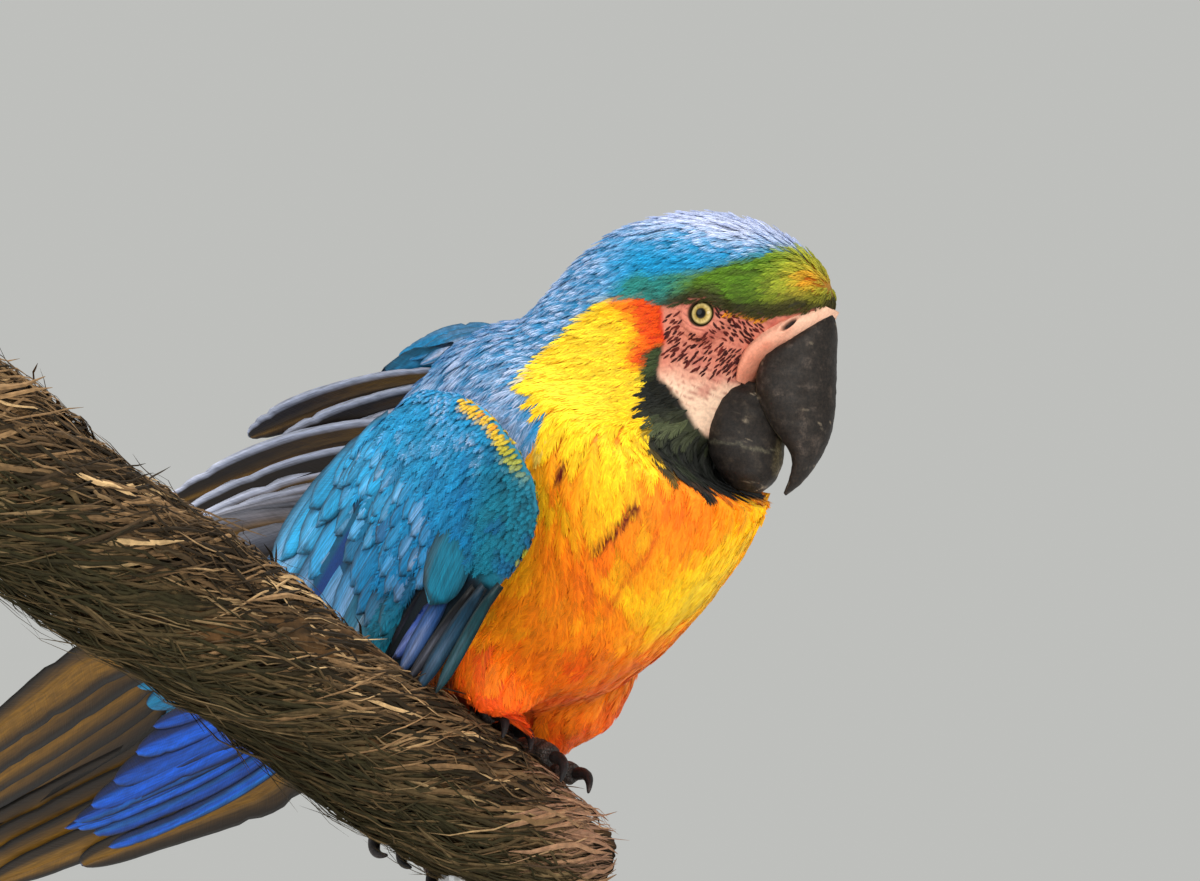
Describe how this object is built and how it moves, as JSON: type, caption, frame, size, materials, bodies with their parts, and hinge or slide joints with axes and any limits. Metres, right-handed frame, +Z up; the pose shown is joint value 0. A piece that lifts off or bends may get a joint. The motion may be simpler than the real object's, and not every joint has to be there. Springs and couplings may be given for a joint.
{
  "type": "blue-and-yellow macaw display model",
  "caption": "Life-size still macaw with a blue back, golden underparts and a long tail, gripping a sloping cut rope that a flat base and two rods hold up.",
  "frame": {"origin": "centre of the underside of the stand's base", "axes": "+Z up, +X the way the bird's body heads, +Y to its left; the perch climbs towards -Y"},
  "size_m": [0.7223, 0.47, 0.4281],
  "materials": {
    "blue_plumage": "soft barbed feathers, turquoise to blue",
    "gold_plumage": "soft barbed feathers, yellow to deep orange",
    "flight_feathers": "royal blue above, olive gold beneath",
    "eye": "wet gloss, pale yellow iris round a black pupil",
    "horn": "black horn, satin with growth ridges",
    "bare_skin": "matt wrinkled pink skin",
    "scaled_skin": "matt dark grey scales",
    "fibre": "twisted natural fibre, brown, matt",
    "base_wood": "dark stained oak, satin lacquer",
    "rod_steel": "brushed"
  },
  "bodies": {
    "root": {"head": "blue_plumage", "neck": "gold_plumage", "trunk": "gold_plumage", "eye_left": "eye", "eye_right": "eye", "bill_upper": "horn", "bill_lower": "horn", "cere": "bare_skin", "wing_right_primaries": "flight_feathers", "wing_right_secondaries": "blue_plumage", "wing_right_coverts": "blue_plumage", "wing_left_primaries": "flight_feathers", "wing_left_secondaries": "blue_plumage", "wing_left_coverts": "blue_plumage", "tail": "flight_feathers", "thigh_left": "gold_plumage", "foot_left": "scaled_skin", "claw_left_1": "horn", "claw_left_2": "horn", "claw_left_3": "horn", "claw_left_4": "horn", "thigh_right": "gold_plumage", "foot_right": "scaled_skin", "claw_right_1": "horn", "claw_right_2": "horn", "claw_right_3": "horn", "claw_right_4": "horn", "perch": "fibre", "stand_base": "base_wood", "stand_rod_feet": "rod_steel", "stand_collar_feet": "rod_steel", "stand_rod_side": "rod_steel", "stand_collar_side": "rod_steel"}
  },
  "joints": []
}
